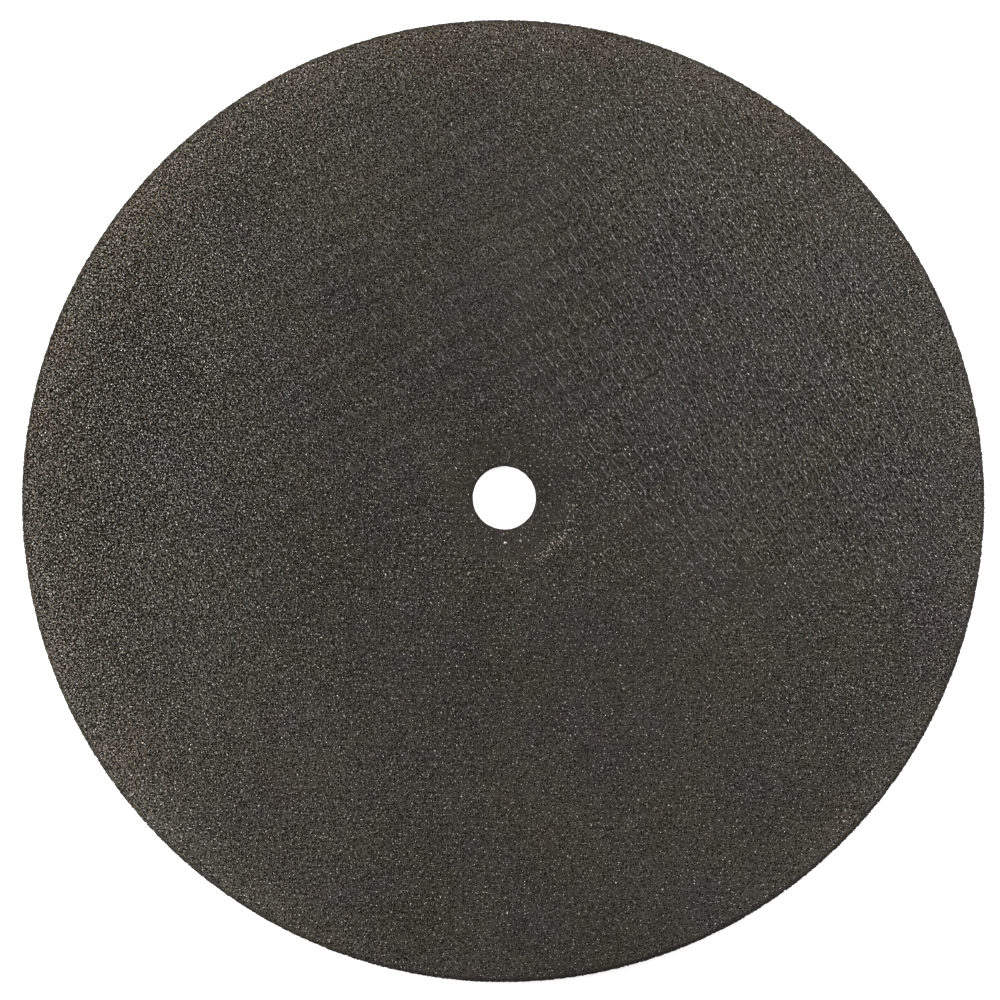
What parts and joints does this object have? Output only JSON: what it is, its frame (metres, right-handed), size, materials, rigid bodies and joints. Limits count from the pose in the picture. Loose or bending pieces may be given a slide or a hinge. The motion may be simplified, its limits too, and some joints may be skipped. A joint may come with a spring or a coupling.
{
  "type": "cut off wheel",
  "caption": "Thin flat abrasive cut off wheel of resin-bonded grain, with a plain arbor bore, a shallow pressed seat round it and a rounded rim.",
  "frame": {"origin": "on the wheel's axis, in the plane of the lower flat face that the wheel lies on", "axes": "+Z along the bore's axis, out of the upper face; the wheel is round about it, so X and Y are free"},
  "size_m": [0.305, 0.305, 0.0032],
  "materials": {
    "bonded_abrasive": "matte, gritty, with pale and tan grain in dark resin"
  },
  "bodies": {
    "root": {"abrasive_wheel": "bonded_abrasive"}
  },
  "joints": []
}
